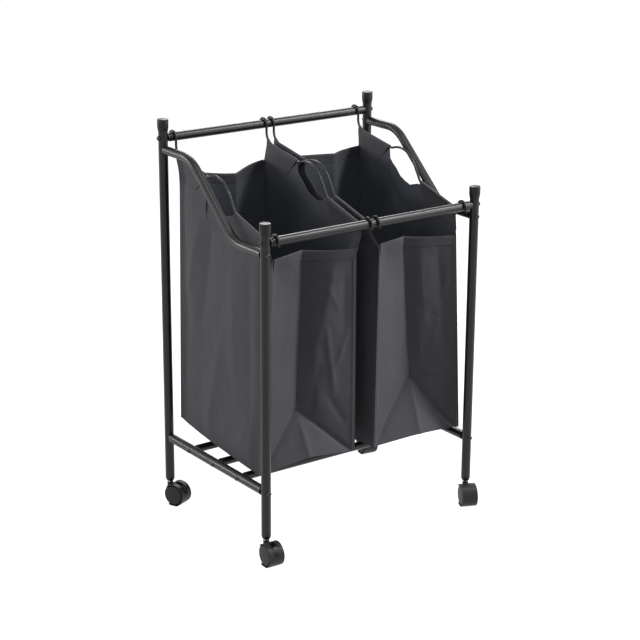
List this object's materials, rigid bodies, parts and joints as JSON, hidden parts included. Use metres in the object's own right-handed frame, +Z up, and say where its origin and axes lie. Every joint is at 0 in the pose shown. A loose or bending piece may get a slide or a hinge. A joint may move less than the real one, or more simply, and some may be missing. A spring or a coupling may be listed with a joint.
{
  "type": "rolling laundry hamper with two bags",
  "caption": "Laundry hamper: a bolted steel tube frame on twin-wheel casters, with cloth bags hung side by side from rods by wire hangers with handle arches.",
  "frame": {"origin": "on the floor, in the middle of the floor area that the hamper covers with its casters at rest", "axes": "+X to the hamper's right seen from the front, +Y from the low front to the tall rear, +Z up"},
  "size_m": [0.539, 0.4131, 0.815],
  "materials": {
    "frame_paint": "black powder coat, semi-gloss",
    "cap_plastic": "moulded black plastic, satin",
    "screw_steel": "blackened steel screw",
    "hanger_wire": "black coated steel wire, semi-gloss",
    "bag_cloth": "charcoal non-woven cloth, matt",
    "caster_plastic": "moulded nylon, satin",
    "wheel_plastic": "moulded nylon wheel, satin",
    "bright_steel": "zinc plated steel"
  },
  "bodies": {
    "frame": {"front_left_upright": "frame_paint", "front_right_upright": "frame_paint", "rear_left_upright": "frame_paint", "rear_right_upright": "frame_paint", "front_rod": "frame_paint", "rear_rod": "frame_paint", "left_side_tube": "frame_paint", "right_side_tube": "frame_paint", "left_lower_rail": "frame_paint", "right_lower_rail": "frame_paint", "front_bottom_bar": "frame_paint", "middle_bottom_bar": "frame_paint", "rear_bottom_bar": "frame_paint", "front_left_end_cap": "cap_plastic", "front_right_end_cap": "cap_plastic", "rear_left_end_cap": "cap_plastic", "rear_right_end_cap": "cap_plastic", "front_left_stem_socket": "cap_plastic", "front_right_stem_socket": "cap_plastic", "rear_left_stem_socket": "cap_plastic", "rear_right_stem_socket": "cap_plastic", "front_left_rod_screw": "screw_steel", "front_right_rod_screw": "screw_steel", "rear_left_rod_screw": "screw_steel", "rear_right_rod_screw": "screw_steel", "front_left_side_tube_screw": "screw_steel", "front_right_side_tube_screw": "screw_steel", "rear_left_side_tube_screw": "screw_steel", "rear_right_side_tube_screw": "screw_steel"},
    "left_bag": {"left_bag": "bag_cloth", "left_bag_inner_hanger": "hanger_wire", "left_bag_outer_hanger": "hanger_wire"},
    "right_bag": {"right_bag": "bag_cloth", "right_bag_inner_hanger": "hanger_wire", "right_bag_outer_hanger": "hanger_wire"},
    "front_left_caster": {"front_left_caster_hood": "caster_plastic", "front_left_caster_stem": "bright_steel", "front_left_caster_axle": "bright_steel"},
    "front_right_caster": {"front_right_caster_hood": "caster_plastic", "front_right_caster_stem": "bright_steel", "front_right_caster_axle": "bright_steel"},
    "rear_left_caster": {"rear_left_caster_hood": "caster_plastic", "rear_left_caster_stem": "bright_steel", "rear_left_caster_axle": "bright_steel"},
    "rear_right_caster": {"rear_right_caster_hood": "caster_plastic", "rear_right_caster_stem": "bright_steel", "rear_right_caster_axle": "bright_steel"},
    "front_left_left_wheel": {"front_left_caster_left_wheel": "wheel_plastic"},
    "front_left_right_wheel": {"front_left_caster_right_wheel": "wheel_plastic"},
    "front_right_left_wheel": {"front_right_caster_left_wheel": "wheel_plastic"},
    "front_right_right_wheel": {"front_right_caster_right_wheel": "wheel_plastic"},
    "rear_left_left_wheel": {"rear_left_caster_left_wheel": "wheel_plastic"},
    "rear_left_right_wheel": {"rear_left_caster_right_wheel": "wheel_plastic"},
    "rear_right_left_wheel": {"rear_right_caster_left_wheel": "wheel_plastic"},
    "rear_right_right_wheel": {"rear_right_caster_right_wheel": "wheel_plastic"},
    "front_left_lever": {"front_left_brake_lever": "caster_plastic"},
    "rear_left_lever": {"rear_left_brake_lever": "caster_plastic"}
  },
  "joints": [
    {"name": "left_bag_lift", "type": "slide", "parent": "frame", "child": "left_bag", "axis": [0, 0, 1], "range_m": [0, 0.67]},
    {"name": "right_bag_lift", "type": "slide", "parent": "frame", "child": "right_bag", "axis": [0, 0, 1], "range_m": [0, 0.67]},
    {"name": "front_left_swivel", "type": "hinge", "parent": "frame", "child": "front_left_caster", "pos_m": [-0.25196, -0.16363, 0.045], "axis": [0, 0, 1], "continuous": true},
    {"name": "front_right_swivel", "type": "hinge", "parent": "frame", "child": "front_right_caster", "pos_m": [0.25304, -0.16363, 0.045], "axis": [0, 0, 1], "continuous": true},
    {"name": "rear_left_swivel", "type": "hinge", "parent": "frame", "child": "rear_left_caster", "pos_m": [-0.25196, 0.19237, 0.045], "axis": [0, 0, 1], "continuous": true},
    {"name": "rear_right_swivel", "type": "hinge", "parent": "frame", "child": "rear_right_caster", "pos_m": [0.25304, 0.19237, 0.045], "axis": [0, 0, 1], "continuous": true},
    {"name": "front_left_left_wheel_spin", "type": "hinge", "parent": "front_left_caster", "child": "front_left_left_wheel", "pos_m": [-0.25272, -0.18111, 0.0225], "axis": [0.999, -0.0436, 0], "continuous": true},
    {"name": "front_left_right_wheel_spin", "type": "hinge", "parent": "front_left_caster", "child": "front_left_right_wheel", "pos_m": [-0.25272, -0.18111, 0.0225], "axis": [0.999, -0.0436, 0], "continuous": true},
    {"name": "front_right_left_wheel_spin", "type": "hinge", "parent": "front_right_caster", "child": "front_right_left_wheel", "pos_m": [0.24592, -0.17961, 0.0225], "axis": [0.9135, -0.4067, 0], "continuous": true},
    {"name": "front_right_right_wheel_spin", "type": "hinge", "parent": "front_right_caster", "child": "front_right_right_wheel", "pos_m": [0.24592, -0.17961, 0.0225], "axis": [0.9135, -0.4067, 0], "continuous": true},
    {"name": "rear_left_left_wheel_spin", "type": "hinge", "parent": "rear_left_caster", "child": "rear_left_left_wheel", "pos_m": [-0.24498, 0.17633, 0.0225], "axis": [0.9171, 0.3987, 0], "continuous": true},
    {"name": "rear_left_right_wheel_spin", "type": "hinge", "parent": "rear_left_caster", "child": "rear_left_right_wheel", "pos_m": [-0.24498, 0.17633, 0.0225], "axis": [0.9171, 0.3987, 0], "continuous": true},
    {"name": "rear_right_left_wheel_spin", "type": "hinge", "parent": "rear_right_caster", "child": "rear_right_left_wheel", "pos_m": [0.2506, 0.17505, 0.0225], "axis": [0.9903, -0.1392, 0], "continuous": true},
    {"name": "rear_right_right_wheel_spin", "type": "hinge", "parent": "rear_right_caster", "child": "rear_right_right_wheel", "pos_m": [0.2506, 0.17505, 0.0225], "axis": [0.9903, -0.1392, 0], "continuous": true},
    {"name": "front_left_brake", "type": "hinge", "parent": "front_left_caster", "child": "front_left_lever", "pos_m": [-0.25321, -0.19236, 0.029], "axis": [0.999, -0.0436, 0], "range_deg": [0, 12]},
    {"name": "rear_left_brake", "type": "hinge", "parent": "rear_left_caster", "child": "rear_left_lever", "pos_m": [-0.24049, 0.166, 0.029], "axis": [0.9171, 0.3987, 0], "range_deg": [0, 12]}
  ]
}
